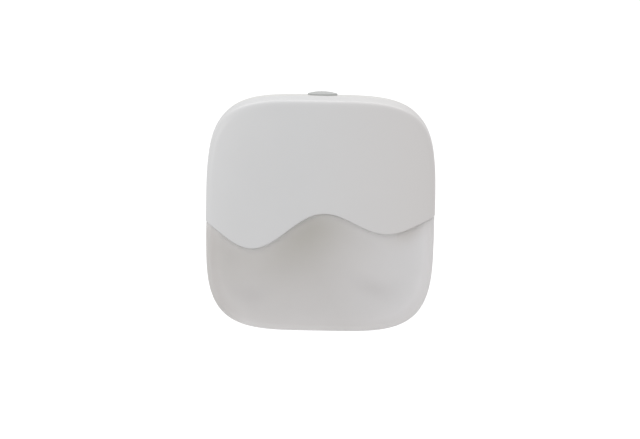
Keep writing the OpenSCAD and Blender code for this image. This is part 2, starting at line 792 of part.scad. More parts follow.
module retainer_screw() {
    color("#a9abad")
    stand()
    translate([0, 0, retainer_top_z]) pan_screw(retainer_screw_length);
}

// Point at t from 0 to 1 on the curve of a wire, which leaves the pin and meets the board along Z
function wire_point(start, end, t) =
    let (lean = [0, 0, (end[2] - start[2]) / 2])
    pow(1 - t, 3) * start + 3 * t * pow(1 - t, 2) * (start + lean)
    + 3 * t * t * (1 - t) * (end - lean) + pow(t, 3) * end;

// Insulated wire swept along its curve, from the tail of a pin to its pad on the board
module insulated_wire(side) {
    start = [side * pin_pitch / 2, 0, pin_end_z];
    end = [side * wire_pad_x, wire_pad_y, board_z];
    across = cross([0, 0, 1], end - start) / norm(cross([0, 0, 1], end - start));
    steps = 14;
    sides = 10;
    path = [for (i = [0 : steps]) wire_point(start, end, i / steps)];
    rings = [for (i = [0 : steps])
        let (ahead = i == 0 || i == steps ? [0, 0, 1]
                : (path[i + 1] - path[i - 1]) / norm(path[i + 1] - path[i - 1]),
             aside = cross(across, ahead))
        [for (k = [0 : sides - 1])
            path[i] + wire_d / 2 * (cos(360 * k / sides) * aside + sin(360 * k / sides) * across)]];
    faces = concat(
        [for (j = [0 : steps - 1], i = [0 : sides - 1])
            let (k = (i + 1) % sides)
            [j * sides + i, j * sides + k, (j + 1) * sides + k, (j + 1) * sides + i]],
        [[for (i = [sides - 1 : -1 : 0]) i]],
        [[for (i = [0 : sides - 1]) steps * sides + i]]);
    polyhedron(points = [for (r = rings) each r], faces = [for (f = faces) backward(f)]);
}

module wire_live() {
    color("#7a4a2a") stand() insulated_wire(-1);
}

module wire_neutral() {
    color("#2f5f9f") stand() insulated_wire(1);
}

// ---------------------------------------------------------------- board and components

// Outline of the board, with the tab at its lower edge between the screws
module board_outline() {
    height = board_top + board_bottom;
    translate([-board_width / 2 + board_corner_r, -board_bottom])
        square([board_width - 2 * board_corner_r, height]);
    translate([-board_width / 2, board_corner_r - board_bottom])
        square([board_width, height - 2 * board_corner_r]);
    for (x = [-1, 1], y = [board_corner_r - board_bottom, board_top - board_corner_r])
        translate([x * (board_width / 2 - board_corner_r), y]) circle(r = board_corner_r);
    translate([-board_tab_width / 2, -board_bottom - board_tab_depth])
        square([board_tab_width, board_tab_depth + board_corner_r]);
}

module circuit_board() {
    color("#e4e6e2")
    stand()
    translate([0, 0, board_z])
        difference() {
            linear_extrude(board_t) board_outline();
            for (s = [-1, 1]) {
                translate([s * screw_x, -screw_y, -past])
                    cylinder(d = screw_d + 2 * slip, h = board_t + 2 * past);
                translate([s * post_x, post_y, -past])
                    cylinder(d = peg_d + 2 * slip, h = board_t + 2 * past);
            }
            for (place = lead_places)
                translate([place[0], place[1], -past])
                    cylinder(d = lead_d + 2 * slip, h = board_t + 2 * past);
        }
}

module board_screws() {
    color("#a9abad")
    stand()
    for (s = [-1, 1])
        translate([s * screw_x, -screw_y, board_front_z]) pan_screw(screw_length);
}

// Surface-mounted LED: white package with a round well for the yellow emitter
module led(index) {
    color("#f2efe2")
    stand()
    translate([(index - 2.5) * led_pitch, -led_row_y, board_front_z])
        difference() {
            translate([-led_width / 2, -led_length / 2, 0]) cube([led_width, led_length, led_t]);
            translate([0, 0, led_t / 2]) cylinder(d = led_well_d, h = led_t);
        }
}

module led_1() {
    led(1);
}

module led_2() {
    led(2);
}

module led_3() {
    led(3);
}

module led_4() {
    led(4);
}

// Film capacitor lying flat on the board, with both leads bent down from its lower side
module dropper_capacitor() {
    axis_z = board_z - film_t / 2;
    color("#d8b72c")
    stand() {
        translate([film_x - film_width / 2, film_y - film_length / 2, board_z - film_t])
            cube([film_width, film_length, film_t]);
        for (s = [-1, 1])
            translate([film_x + s * film_lead_pitch / 2, film_y - film_length / 2, axis_z])
                rotate([0, 0, -90]) bent_lead(lead_run, board_front_z + lead_stub - axis_z);
    }
}

// Electrolytic capacitor lying along X, with a crimped groove near its leads
module smoothing_capacitor() {
    axis_z = board_z - can_d / 2 - slip;
    color("#30343c")
    stand()
    translate([can_x, can_y, axis_z]) {
        rotate([0, 90, 0])
            difference() {
                cylinder(d = can_d, h = can_length, center = true);
                translate([0, 0, can_groove_at - can_length / 2])
                    difference() {
                        cylinder(d = can_d + past, h = can_groove_width);
                        translate([0, 0, -past])
                            cylinder(d = can_d - 2 * can_groove_depth, h = can_groove_width + 2 * past);
                    }
            }
        for (s = [-1, 1])
            translate([-can_length / 2, s * can_lead_pitch / 2, 0])
                rotate([0, 0, 180]) bent_lead(lead_run, board_front_z + lead_stub - axis_z);
    }
}

// Bridge rectifier with two flat legs on each side
module bridge_rectifier() {
    w = bridge_leg[0];
    reach = bridge_leg[1];
    t = bridge_leg[2];
    half = bridge_body[1] / 2;
    color("#1d1d1f")
    stand()
    translate([bridge_place[0], bridge_place[1], board_z]) {
        translate([-bridge_body[0] / 2, -half, -bridge_body[2] - t]) cube(bridge_body);
        for (turn = [0, 180], s = [-1, 1])
            rotate([0, 0, turn])
                translate([s * small_lead_pitch - w / 2, half, 0]) {
                    translate([0, 0, -t]) cube([w, reach, t]);
                    translate([0, 0, -bridge_body[2] / 2]) cube([w, t, bridge_body[2] / 2]);
                }
    }
}

module inrush_resistor() {
    color("#8fa3b0") stand() axial_component(inrush_place, inrush_d, inrush_length, inrush_span);
}

module bleed_resistor() {
    color("#d7c19a") stand() axial_component(bleed_place, bleed_d, bleed_length, bleed_span);
}

module zener_diode() {
    color("#b06a3a") stand() axial_component(zener_place, zener_d, zener_length, zener_span);
}

// Transistor with one flat side, standing on three leads
module switching_transistor() {
    top_z = board_z - transistor_standoff;
    color("#1d1d1f")
    stand()
    translate([transistor_place[0], transistor_place[1], 0]) {
        translate([0, 0, top_z - transistor_height])
            difference() {
                cylinder(d = transistor_d, h = transistor_height);
                translate([-transistor_d, transistor_flat, -past])
                    cube([2 * transistor_d, transistor_d, transistor_height + 2 * past]);
            }
        for (s = [-1, 0, 1])
            translate([s * small_lead_pitch, 0, top_z])
                cylinder(d = lead_d, h = board_front_z + lead_stub - top_z);
    }
}

rear_housing();
diffuser();
front_cover();
sensor_window();
sensor_sleeve();
photoresistor();
pin_left();
pin_right();
pin_sleeve_left();
pin_sleeve_right();
pin_retainer();
retainer_screw();
wire_live();
wire_neutral();
circuit_board();
board_screws();
led_1();
led_2();
led_3();
led_4();
dropper_capacitor();
smoothing_capacitor();
bridge_rectifier();
inrush_resistor();
bleed_resistor();
switching_transistor();
zener_diode();
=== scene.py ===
import bmesh
import bpy
import numpy as np
from mathutils import Matrix, Vector


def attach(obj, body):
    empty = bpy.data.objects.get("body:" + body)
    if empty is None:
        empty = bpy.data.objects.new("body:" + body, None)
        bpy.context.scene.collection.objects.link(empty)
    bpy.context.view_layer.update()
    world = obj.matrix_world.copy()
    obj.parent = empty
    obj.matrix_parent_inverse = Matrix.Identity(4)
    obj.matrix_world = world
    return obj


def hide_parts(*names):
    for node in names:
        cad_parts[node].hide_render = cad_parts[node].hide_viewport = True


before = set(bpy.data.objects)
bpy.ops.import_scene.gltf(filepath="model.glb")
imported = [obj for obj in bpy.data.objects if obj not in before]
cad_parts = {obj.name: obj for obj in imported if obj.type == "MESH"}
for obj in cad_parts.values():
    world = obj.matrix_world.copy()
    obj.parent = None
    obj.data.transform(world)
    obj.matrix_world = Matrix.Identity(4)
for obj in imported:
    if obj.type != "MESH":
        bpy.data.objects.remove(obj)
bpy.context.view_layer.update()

# ---------------------------------------------------------------- rear housing
# Tray behind everything, moulded from white polypropylene in one piece with the hollow plug boss. It carries
# the pins and the board on its inside, and its thin lip takes the tongue of the diffuser.
mm = 0.001
# Half width of the body at the seam, how much more its half height is, and the exponent of its outline.
half_size, tall, squareness = 30.0, 0.5, 4.15
# Depths from the face of the plug: back face, floor, shelf behind the tongue, back of the board, and seam.
back_z, floor_z, shelf_z, board_z, seam_z = 17.0, 19.2, 25.5, 27.6, 29.0
draft = np.radians(1.5)
corner_pull = np.radians(5.7)


def outline(half, turn):
    """Squircle |x/a|^n + |y/b|^n = 1 with a = half and b = half + tall, at the angles turn."""
    across, upward = np.cos(turn), np.sin(turn)
    radius = (np.abs(across) ** squareness + np.abs(upward) ** squareness) ** (-1 / squareness)
    return half * radius * across, (half + tall) * radius * upward


def turns(start, stop, count):
    """Angles from start to stop, drawn toward the corners of the outline by corner_pull times sin(4 t)."""
    t = np.linspace(start, stop, count)
    return t + corner_pull * np.sin(4 * t)


def softened(corners, reach, steps):
    """Profile whose inner corners B become the curve (1-t)^2 A + 2t(1-t) B + t^2 C, with A and C on the two
    sides of the corner, reach away from it or just under halfway along the shorter side."""
    p = np.asarray(corners, float)
    back, ahead = p[:-2] - p[1:-1], p[2:] - p[1:-1]
    long_back, long_ahead = np.linalg.norm(back, axis=1), np.linalg.norm(ahead, axis=1)
    under_half = 0.49
    cut = np.minimum(reach, under_half * np.minimum(long_back, long_ahead))
    a = p[1:-1] + back * (cut / long_back)[:, None]
    c = p[1:-1] + ahead * (cut / long_ahead)[:, None]
    t = np.linspace(0, 1, steps)[None, :, None]
    curve = (1 - t) ** 2 * a[:, None] + 2 * t * (1 - t) * p[1:-1][:, None] + t ** 2 * c[:, None]
    return np.concatenate([p[:1], curve.reshape(-1, 2), p[-1:]])


def rings(grid):
    """Points and faces of a closed form through grid[row, step]: each row is a closed ring, the ends are
    flat."""
    rows, steps = grid.shape[:2]
    here = np.arange(rows * steps).reshape(rows, steps)
    beside = np.roll(here, -1, axis=1)
    quads = np.stack([here[:-1], beside[:-1], beside[1:], here[1:]], -1).reshape(-1, 4)
    return grid.reshape(-1, 3), quads.tolist() + [here[0].tolist(), here[-1].tolist()]


def turned(profile, place, axis, steps=64):
    """Rings of a turned form: each profile row [radius, station] around the axis "x", "y" or "z"."""
    angle = np.linspace(0, 2 * np.pi, steps, endpoint=False)
    r, along = profile[:, :1], np.broadcast_to(profile[:, 1:], (len(profile), steps))
    u, v = r * np.cos(angle), r * np.sin(angle)
    form = {"x": (along, u, v), "y": (v, along, u), "z": (u, v, along)}[axis]
    return rings(np.stack(form, -1) + np.asarray(place, float))


def piece(name, forms, node, material, sharp=35):
    """One object from closed forms drawn lying on their backs in millimetres, turned upright by
    (x, y, z) -> (x, -z, y), with points closer than merge_within made one, outward faces, and smooth shading
    except at edges of more than sharp degrees."""
    merge_within = 0.0002 * mm
    faces, start = [], 0
    for points, some in forms:
        faces += [[start + i for i in face] for face in some]
        start += len(points)
    x, y, z = np.concatenate([points for points, _ in forms]).T * mm
    mesh = bpy.data.meshes.new(name)
    mesh.from_pydata(np.stack([x, -z, y], 1).tolist(), [], faces)
    work = bmesh.new()
    work.from_mesh(mesh)
    bmesh.ops.remove_doubles(work, verts=work.verts, dist=merge_within)
    bmesh.ops.recalc_face_normals(work, faces=work.faces)
    work.to_mesh(mesh)
    work.free()
    mesh.shade_smooth()
    mesh.set_sharp_from_angle(angle=np.radians(sharp))
    mesh.materials.append(material)
    obj = bpy.data.objects.new(name, mesh)
    bpy.context.scene.collection.objects.link(obj)
    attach(obj, "root")
    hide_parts(node)


def grained(name, colour, drift=0.02, roughness=0.4, spread=0.06, grain=2500.0, relief=0.006, **more):
    """Principled finish with a slow drift of the colour (noise of 12 mm), a roughness that varies by spread
    with a noise of 4 mm, and a fine relief: noise of 1/grain metres, relief millimetres high."""
    drift_scale, gloss_scale = 80.0, 250.0
    material = bpy.data.materials.new(name)
    material.use_nodes = True
    tree = material.node_tree
    shader = tree.nodes["Principled BSDF"]
    place = tree.nodes.new("ShaderNodeTexCoord").outputs["Object"]

    def noise(scale, detail):
        texture = tree.nodes.new("ShaderNodeTexNoise")
        texture.inputs["Scale"].default_value = scale
        texture.inputs["Detail"].default_value = detail
        tree.links.new(place, texture.inputs["Vector"])
        return texture.outputs["Fac"]

    def ranged(value, low, high):
        # The noise stays mostly between 0.3 and 0.7, which is stretched to low and high.
        stretch = tree.nodes.new("ShaderNodeMapRange")
        ends = {"From Min": 0.3, "From Max": 0.7, "To Min": low, "To Max": high}
        for socket, end in ends.items():
            stretch.inputs[socket].default_value = end
        tree.links.new(value, stretch.inputs["Value"])
        return stretch.outputs["Result"]

    mix = tree.nodes.new("ShaderNodeMix")
    mix.data_type = "RGBA"
    mix.inputs["A"].default_value = (*(c * (1 - drift) for c in colour), 1)
    mix.inputs["B"].default_value = (*(min(1.0, c * (1 + drift)) for c in colour), 1)
    tree.links.new(ranged(noise(drift_scale, 3.0), 0.0, 1.0), mix.inputs["Factor"])
    tree.links.new(mix.outputs["Result"], shader.inputs["Base Color"])
    gloss = ranged(noise(gloss_scale, 2.0), roughness - spread, roughness + spread)
    tree.links.new(gloss, shader.inputs["Roughness"])
    bump = tree.nodes.new("ShaderNodeBump")
    bump.inputs["Distance"].default_value = relief * mm
    tree.links.new(noise(grain, 2.0), bump.inputs["Height"])
    tree.links.new(bump.outputs["Normal"], shader.inputs["Normal"])
    for socket, value in more.items():
        shader.inputs[socket.replace("_", " ")].default_value = value
    return material


def behind(z):
    """Half width of the housing's side wall at the depth z, drafted toward the back."""
    return half_size - (seam_z - z) * np.tan(draft)


boss_width, boss_height, boss_bevel = 35.3, 13.7, 4.6


def boss_ring(inset, turn):
    """Outline of the boss, a rectangle with bevels, drawn in by inset, in polar form with corners that are
    slightly round: (1/r)^k is the sum of |cos/w|^k, |sin/h|^k and ((|cos| + |sin|)/c)^k with k = 150."""
    across, upward = np.abs(np.cos(turn)), np.abs(np.sin(turn))
    w, h = boss_width / 2 - inset, boss_height / 2 - inset
    c = (boss_width + boss_height) / 2 - boss_bevel - np.sqrt(2) * inset
    k = 150
    radius = ((across / w) ** k + (upward / h) ** k + ((across + upward) / c) ** k) ** (-1 / k)
    return radius * np.cos(turn), radius * np.sin(turn)


def carried(ring, profile, turn):
    """Grid of the ring function's points at each profile row [half width or inset, depth]."""
    x, y = ring(profile[:, :1], turn[None])
    return np.stack([x, y, np.broadcast_to(profile[:, 1:], x.shape)], -1)


def prism(corners, low, high):
    """Closed form of a polygon of (x, z) corners carried along y from low to high."""
    x, z = np.asarray(corners, float).T
    return rings(np.stack([np.stack([x, np.full(len(x), y), z], -1) for y in (low, high)]))


around = turns(0, 2 * np.pi, 361)[:-1]
lip_wall, side_wall, boss_wall, end_wall = 1.3, 2.6, 2.2, 3.0
# Rounding of the back edge, chamfers of the plug's face and of the floor, and the strip of flat face drawn
# beside the first and the last.
edge_r, face_chamfer, floor_chamfer, strip = 2.0, 0.6, 1.0, 0.2
edge_turn = np.linspace(0, np.pi / 2, 9)
tray_back = behind(back_z + edge_r)
back_edge = np.stack([tray_back - edge_r * (1 - np.sin(edge_turn)),
                      back_z + edge_r * (1 - np.cos(edge_turn))], 1)
chamfer_z = floor_z + floor_chamfer
floor_half = behind(floor_z) - side_wall - floor_chamfer
tray = softened(np.concatenate([
    [[tray_back - edge_r - strip, back_z]], back_edge,
    [[half_size, seam_z], [half_size - lip_wall, seam_z], [behind(shelf_z) - lip_wall, shelf_z],
     [behind(shelf_z) - side_wall, shelf_z], [behind(chamfer_z) - side_wall, chamfer_z],
     [floor_half, floor_z], [floor_half - strip, floor_z]]]), reach=0.2, steps=4)
# The boss's two profiles as [inset, depth]. The shell closes flat inside the first and the last of its rows.
boss_outside = softened([[3.0, 0.0], [face_chamfer, 0.0], [0.0, face_chamfer], [0.0, back_z]],
                        reach=0.3, steps=4)
boss_inside = softened([[boss_wall, floor_z], [boss_wall, end_wall], [boss_wall + 2.0, end_wall]],
                       reach=0.4, steps=4)
shell_rows = np.concatenate([carried(boss_ring, boss_outside, around), carried(outline, tray, around),
                             carried(boss_ring, boss_inside, around)])
# Screw pillars, posts with pegs and the sensor's cradle stand on the floor. They start inside it, at foot_z.
foot_z, pillar_r, post_r, peg_r, peg_z = 18.1, 2.5, 1.8, 1.0, 30.0
pillar = softened([[0.5, foot_z], [pillar_r, foot_z], [pillar_r, board_z], [0.5, board_z]],
                  reach=0.2, steps=3)
post = softened([[0.5, foot_z], [post_r, foot_z], [post_r, board_z], [peg_r, board_z], [peg_r, peg_z],
                 [0.3, peg_z]], reach=0.15, steps=3)
# Seat of the retainer's screw, on the end wall of the boss.
seat_foot_z, seat_top_z = 2.9, 4.2
screw_seat = softened([[0.5, seat_foot_z], [pillar_r, seat_foot_z], [pillar_r, seat_top_z],
                       [0.5, seat_top_z]], reach=0.15, steps=3)
# Rib with a round notch for the sensor's sleeve, whose axis lies at the depth sensor_z.
sensor_z, notch_r = 23.0, 3.28
cradle_half, cradle_top, cradle_y, cradle_t = 4.53, 24.0, 24.19, 2.4
notch = np.linspace(0, -np.pi, 25)
cradle = np.concatenate([
    [[-cradle_half, foot_z], [cradle_half, foot_z], [cradle_half, cradle_top], [notch_r, cradle_top]],
    np.stack([notch_r * np.cos(notch), sensor_z + notch_r * np.sin(notch)], 1),
    [[-notch_r, cradle_top], [-cradle_half, cradle_top]]])
pillar_x, pillar_y, post_x, post_y = 11.5, -18.4, 18.9, 16.2
piece("rear_housing_shell",
      [rings(shell_rows), turned(screw_seat, (0, 0, 0), "z"), prism(cradle, cradle_y, cradle_y + cradle_t)]
      + [turned(pillar, (side * pillar_x, pillar_y, 0), "z") for side in (-1, 1)]
      + [turned(post, (side * post_x, post_y, 0), "z") for side in (-1, 1)],
      "rear_housing",
      grained("housing_plastic", (0.79, 0.785, 0.765), drift=0.015, roughness=0.42, relief=0.01))

# ---------------------------------------------------------------- sensor window
# Low puck of smoke-grey polycarbonate, let 0.5 mm into the top wall of the housing, with a satin domed top
# and a stem that leads the daylight down to the photoresistor.
lens_r, stem_r, lens_side, dome = 3.9, 2.5, 0.45, 0.55
wall_y = behind(sensor_z) + tall
seat_y, stem_y = wall_y - 0.5, wall_y - 3.8
dome_r = np.linspace(lens_r, 0.2, 16)
window_rows = np.concatenate([
    softened([[0.3, stem_y], [stem_r, stem_y], [stem_r, seat_y], [lens_r, seat_y],
              [lens_r, wall_y + lens_side]], reach=0.1, steps=3),
    np.stack([dome_r, wall_y + lens_side + dome * (1 - (dome_r / lens_r) ** 2)], 1)[1:]])
piece("sensor_window_puck", [turned(window_rows, (0, 0, sensor_z), "y")], "sensor_window",
      grained("smoked_window", (0.64, 0.65, 0.64), drift=0.03, roughness=0.45, spread=0.04, relief=0.002,
              Transmission_Weight=0.15, IOR=1.58, Specular_IOR_Level=0.1), sharp=50)

# ---------------------------------------------------------------- contact pins
# Two 4 mm pins turned from brass and nickel plated, each with a rounded tip, a thinner shank and a collar
# that the retainer presses against the end wall of the boss.
pin_x, pin_r, shank_r, collar_r, tail_r = 9.5, 2.0, 1.4, 2.6, 1.2
tip_z, bare_z, collar_z, tail_z = -19.0, -10.0, 4.2, 9.7
pin_rows = softened([
    [0.4, tip_z], [0.8, tip_z], [1.55, tip_z + 0.3], [1.9, tip_z + 0.7], [pin_r, tip_z + 1.3],
    [pin_r, bare_z], [shank_r, bare_z], [shank_r, end_wall], [collar_r, end_wall],
    [collar_r, collar_z], [tail_r, collar_z], [tail_r, tail_z], [0.3, tail_z]], reach=0.25, steps=4)
nickel = grained("nickel_brass", (0.62, 0.6, 0.56), drift=0.03, roughness=0.24, spread=0.07, grain=900.0,
                 relief=0.001, Metallic=1.0)
pin_sides = (("left", -1), ("right", 1))
for name, side in pin_sides:
    piece("pin_" + name + "_metal", [turned(pin_rows, (side * pin_x, 0, 0), "z")], "pin_" + name,
          nickel)

# ---------------------------------------------------------------- pin sleeves
# White polyamide sleeves, moulded onto the shanks of the pins. They insulate the rear half of each pin and
# are let 1 mm into the end wall of the boss.
sleeve_r, sleeve_bore_r, sleeve_seat = 1.8, 1.5, 1.0
sleeve_rows = softened([[sleeve_bore_r, bare_z], [sleeve_r, bare_z], [sleeve_r, sleeve_seat],
                        [sleeve_bore_r, sleeve_seat]], reach=0.12, steps=4)
sleeve_white = grained("pin_insulation", (0.8, 0.795, 0.775), drift=0.015, roughness=0.38, relief=0.004)
for name, side in pin_sides:
    piece("pin_sleeve_" + name + "_moulding", [turned(sleeve_rows, (side * pin_x, 0, 0), "z")],
          "pin_sleeve_" + name, sleeve_white)

# ---------------------------------------------------------------- pin retainer
# Cream polyamide plate that lies across both collars inside the boss and is held by one zinc plated screw,
# so that the pins can't be pushed in or pulled out.


def finish(node, material):
    """Gives a node that keeps its own mesh its material."""
    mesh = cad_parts[node].data
    mesh.materials.clear()
    mesh.materials.append(material)


finish("pin_retainer", grained("retainer_plastic", (0.6, 0.56, 0.44), drift=0.03, roughness=0.45))
zinc = grained("zinc_steel", (0.5, 0.51, 0.53), drift=0.08, roughness=0.3, grain=1500.0, relief=0.003,
               Metallic=1.0)
finish("retainer_screw", zinc)

# ---------------------------------------------------------------- wires
# Two short wires of stranded copper in soft PVC, brown for the live pin and blue for the neutral one,
# soldered to the pins' tails and to the back of the board.
finish("wire_live", grained("wire_brown", (0.1, 0.035, 0.012), drift=0.06, roughness=0.4))
finish("wire_neutral", grained("wire_blue", (0.01, 0.05, 0.25), drift=0.06, roughness=0.4))

# ---------------------------------------------------------------- circuit board
# Glass fibre laminate, 1.6 mm thick, with a white solder mask through which the copper shows faintly. It
# sits on two posts and is held by two zinc plated screws.


def overlay(material, mask, colour):
    """Paints colour over the base colour of a material with the share mask(sockets x, y, z in metres, math);
    math adds a Math node and gives its output."""
    tree = material.node_tree
    shader = tree.nodes["Principled BSDF"]
    place = tree.nodes.new("ShaderNodeSeparateXYZ")
    tree.links.new(tree.nodes.new("ShaderNodeTexCoord").outputs["Object"], place.inputs[0])

    def math(operation, *values):
        node = tree.nodes.new("ShaderNodeMath")
        node.operation = operation
        for socket, value in zip(node.inputs, values):
            if isinstance(value, (int, float)):
                socket.default_value = value
            else:
                tree.links.new(value, socket)
        return node.outputs[0]

    mix = tree.nodes.new("ShaderNodeMix")
    mix.data_type = "RGBA"
    tree.links.new(shader.inputs["Base Color"].links[0].from_socket, mix.inputs["A"])
    mix.inputs["B"].default_value = (*colour, 1)
    share = mask(place.outputs["X"], place.outputs["Y"], place.outputs["Z"], math)
    tree.links.new(share, mix.inputs["Factor"])
    tree.links.new(mix.outputs["Result"], shader.inputs["Base Color"])
    return material


def copper(x, y, z, math):
    """Islands of copper every 4 mm both ways, where sin(1571 x) + sin(1571 z) > 0.9, in metres."""
    along, upward = (math("SINE", math("MULTIPLY", value, 1571)) for value in (x, z))
    return math("GREATER_THAN", math("ADD", along, upward), 0.9)


finish("circuit_board", overlay(grained("board_laminate", (0.68, 0.7, 0.66), drift=0.04, roughness=0.35),
                                copper, (0.6, 0.66, 0.6)))
finish("board_screws", zinc)

# ---------------------------------------------------------------- LEDs
# Four surface mounted LEDs in a row on the front of the board: white packages with a yellow phosphor disc of
# 2.1 mm in a well.
# How far the row is under the middle of the body, and the radius of a disc, in metres.
led_row, phosphor_r = 0.013, 0.00105


def phosphor(middle_x):
    """Mask of a disc, (x - middle_x)^2 + (z + led_row)^2 < phosphor_r^2, in metres."""
    def mask(x, y, z, math):
        away = math("ADD", math("POWER", math("ABSOLUTE", math("SUBTRACT", x, middle_x)), 2),
                    math("POWER", math("ABSOLUTE", math("ADD", z, led_row)), 2))
        return math("LESS_THAN", away, phosphor_r ** 2)

    return mask


for number, middle_x in enumerate((-0.015, -0.005, 0.005, 0.015), 1):
    package = grained(f"led_package_{number}", (0.84, 0.83, 0.78), drift=0.02, roughness=0.3)
    finish(f"led_{number}", overlay(package, phosphor(middle_x), (0.85, 0.62, 0.08)))

# ---------------------------------------------------------------- supply and switch
# The board's own parts, soldered through from behind: a yellow film capacitor, a can capacitor in a dark
# shrink sleeve with a pale stripe, a bridge rectifier, two lacquered resistors, a transistor and a zener
# diode.
finish("dropper_capacitor", grained("film_box", (0.6, 0.39, 0.02), drift=0.05, roughness=0.35))
finish("bridge_rectifier", grained("bridge_epoxy", (0.012, 0.012, 0.012), drift=0.3, roughness=0.55))
finish("switching_transistor", grained("transistor_epoxy", (0.012, 0.012, 0.012), drift=0.3, roughness=0.55))
# Height of the can's axis and half the width of its stripe, in metres.
can_axis_z, stripe_half = 0.0125, 0.0012


def stripe(x, y, z, math):
    """Strip along the can, where z is less than stripe_half from can_axis_z."""
    return math("LESS_THAN", math("ABSOLUTE", math("SUBTRACT", z, can_axis_z)), stripe_half)


def band(*stations, half=0.0004):
    """Mask of colour bands around the stations along X, where x is less than half from one of them."""
    def mask(x, y, z, math):
        near = [math("LESS_THAN", math("ABSOLUTE", math("SUBTRACT", x, at)), half) for at in stations]
        while len(near) > 1:
            near = [math("MAXIMUM", near[0], near[1])] + near[2:]
        return near[0]

    return mask


finish("smoothing_capacitor", overlay(grained("can_sleeve", (0.015, 0.02, 0.035), drift=0.2, roughness=0.25),
                                      stripe, (0.42, 0.44, 0.47)))
tan_lacquer = grained("resistor_tan", (0.5, 0.35, 0.15), drift=0.06, roughness=0.3)
overlay(tan_lacquer, band(-0.0131, -0.0107), (0.28, 0.03, 0.01))
overlay(tan_lacquer, band(-0.0119, -0.0091), (0.45, 0.2, 0.01))
finish("bleed_resistor", tan_lacquer)
blue_grey = grained("resistor_lacquer", (0.17, 0.27, 0.32), drift=0.08, roughness=0.3)
overlay(blue_grey, band(-0.0143, -0.0111), (0.12, 0.04, 0.01))
overlay(blue_grey, band(-0.0127, -0.0078), (0.5, 0.25, 0.02))
finish("inrush_resistor", blue_grey)
red_glass = grained("diode_glass", (0.35, 0.08, 0.02), drift=0.2, roughness=0.1, Coat_Weight=0.6)
finish("zener_diode", overlay(red_glass, band(0.0061), (0.01, 0.01, 0.01)))

# ---------------------------------------------------------------- photoresistor and sleeve
# Photoresistor, a ceramic disc with a winding cadmium sulphide track, and the black shrink sleeve that joins
# it to the window's stem, so that the light of the LEDs doesn't reach it.
track_half = 0.0017


def track(x, y, z, math):
    """Bars of the track every 0.8 mm, where sin(7850 x) > 0, less than track_half from the disc's middle."""
    bars = math("GREATER_THAN", math("SINE", math("MULTIPLY", x, 7850)), 0)
    near = math("LESS_THAN", math("ABSOLUTE", math("ADD", y, sensor_z * mm)), track_half)
    return math("MULTIPLY", bars, near)


finish("sensor_sleeve", grained("black_sleeve", (0.012, 0.012, 0.014), drift=0.2, roughness=0.6))
cell = grained("photo_cell", (0.42, 0.32, 0.2), drift=0.1, roughness=0.3, Coat_Weight=0.5)
finish("photoresistor", overlay(cell, track, (0.36, 0.09, 0.03)))

# ---------------------------------------------------------------- diffuser
# Bowl moulded from frosted, milky polycarbonate with a 1.8 mm wall. The hooks on its tongue snap into the lip
# of the housing, and its walls step in under the cover, so that both are flush at the sides.
cover_wall, diffuser_wall, tongue_wall, slip = 1.2, 1.8, 1.3, 0.15
# Depths: end of the tongue, rim of the bowl, front of the cover, bowl's front under it, and bowl's ceiling.
tongue_z, shell_z, front_z = 25.8, 29.3, 43.0
seat_z = front_z - cover_wall - slip
ceiling_z = seat_z - diffuser_wall
front_edge_r, crown_drop, crown_reach, crown_power = 2.2, 1.1, 27.8, 6
wave_mid, wave_tilt = -2.6, 0.08
wave_height, wave_fade, wave_pitch, crest_x = 3.6, 0.043, 35.4, 0.9


def wave(x):
    """Height of the cover's lower edge: the line mid + tilt x, and on it a cosine wave with a crest at
    crest_x, wave_pitch long and height - fade x high."""
    swing = np.cos(2 * np.pi * (x - crest_x) / wave_pitch)
    return wave_mid + wave_tilt * x + (wave_height - wave_fade * x) * swing


def bowl(half, top, r, wall_rows=8, edge_rows=14, crown_rows=40, middle=2.0):
    """Profile of a bowl as rows [half width, depth]: drafted wall from the rim, edge rounding r, and the
    crown z = top - drop (h / reach)^power in to the half width middle, its rows at t^crowding of the way.
    The ends of the rounding settle in a few passes."""
    crowding = 1.3
    end = half - r
    for _ in range(12):
        slope = np.arctan(crown_power * crown_drop / crown_reach * (end / crown_reach) ** (crown_power - 1))
        z = top - crown_drop * (end / crown_reach) ** crown_power - r * np.cos(slope)
        side = half - (z + r * np.sin(draft) - seam_z) * np.tan(draft)
        end = side - r * (np.cos(draft) - np.sin(slope))
    a = np.linspace(np.pi / 2 - draft, slope, edge_rows)
    edge = np.stack([end - r * np.sin(slope) + r * np.sin(a), z + r * np.cos(a)], 1)
    depth = np.linspace(shell_z, edge[0, 1], wall_rows, endpoint=False)
    walls = np.stack([half - (depth - seam_z) * np.tan(draft), depth], 1)
    h = end + (middle - end) * np.linspace(0, 1, crown_rows + 1)[1:] ** crowding
    crown = np.stack([h, top - crown_drop * (h / crown_reach) ** crown_power], 1)
    return np.concatenate([walls, edge, crown])


exposed_half = half_size - slip
covered_half = exposed_half - cover_wall
tongue_half = half_size - lip_wall - slip
hollow_half = tongue_half - tongue_wall
tongue_in = (seam_z - tongue_z) * np.tan(draft)
exposed = bowl(exposed_half, seat_z, front_edge_r - slip)
covered = bowl(covered_half, seat_z, front_edge_r - cover_wall - slip)
hollow = bowl(hollow_half, ceiling_z, front_edge_r - slip)
tongue = [[hollow_half - tongue_in, tongue_z], [tongue_half - tongue_in, tongue_z], [tongue_half, shell_z]]
inside = np.concatenate([hollow[::-1], tongue])
# Rows of the exposed zone under the wave and of the covered one over it, from the inside out.
low = np.concatenate([inside, exposed])
high = np.concatenate([inside, covered])
# The step between the two zones follows the ends of the wave, the slip clearance under them, with a gap of
# 0.35 degrees on both sides. From ledge_x inward it stays at one angle.
ledge_x, gap = 27.7, np.radians(0.35)
reach_x = np.maximum(low[:, 0], ledge_x)
right_end = np.arctan((wave(reach_x) - slip) / (reach_x + tall))[:, None]
left_end = np.pi - np.arctan((wave(-reach_x) - slip) / (reach_x + tall))[:, None]


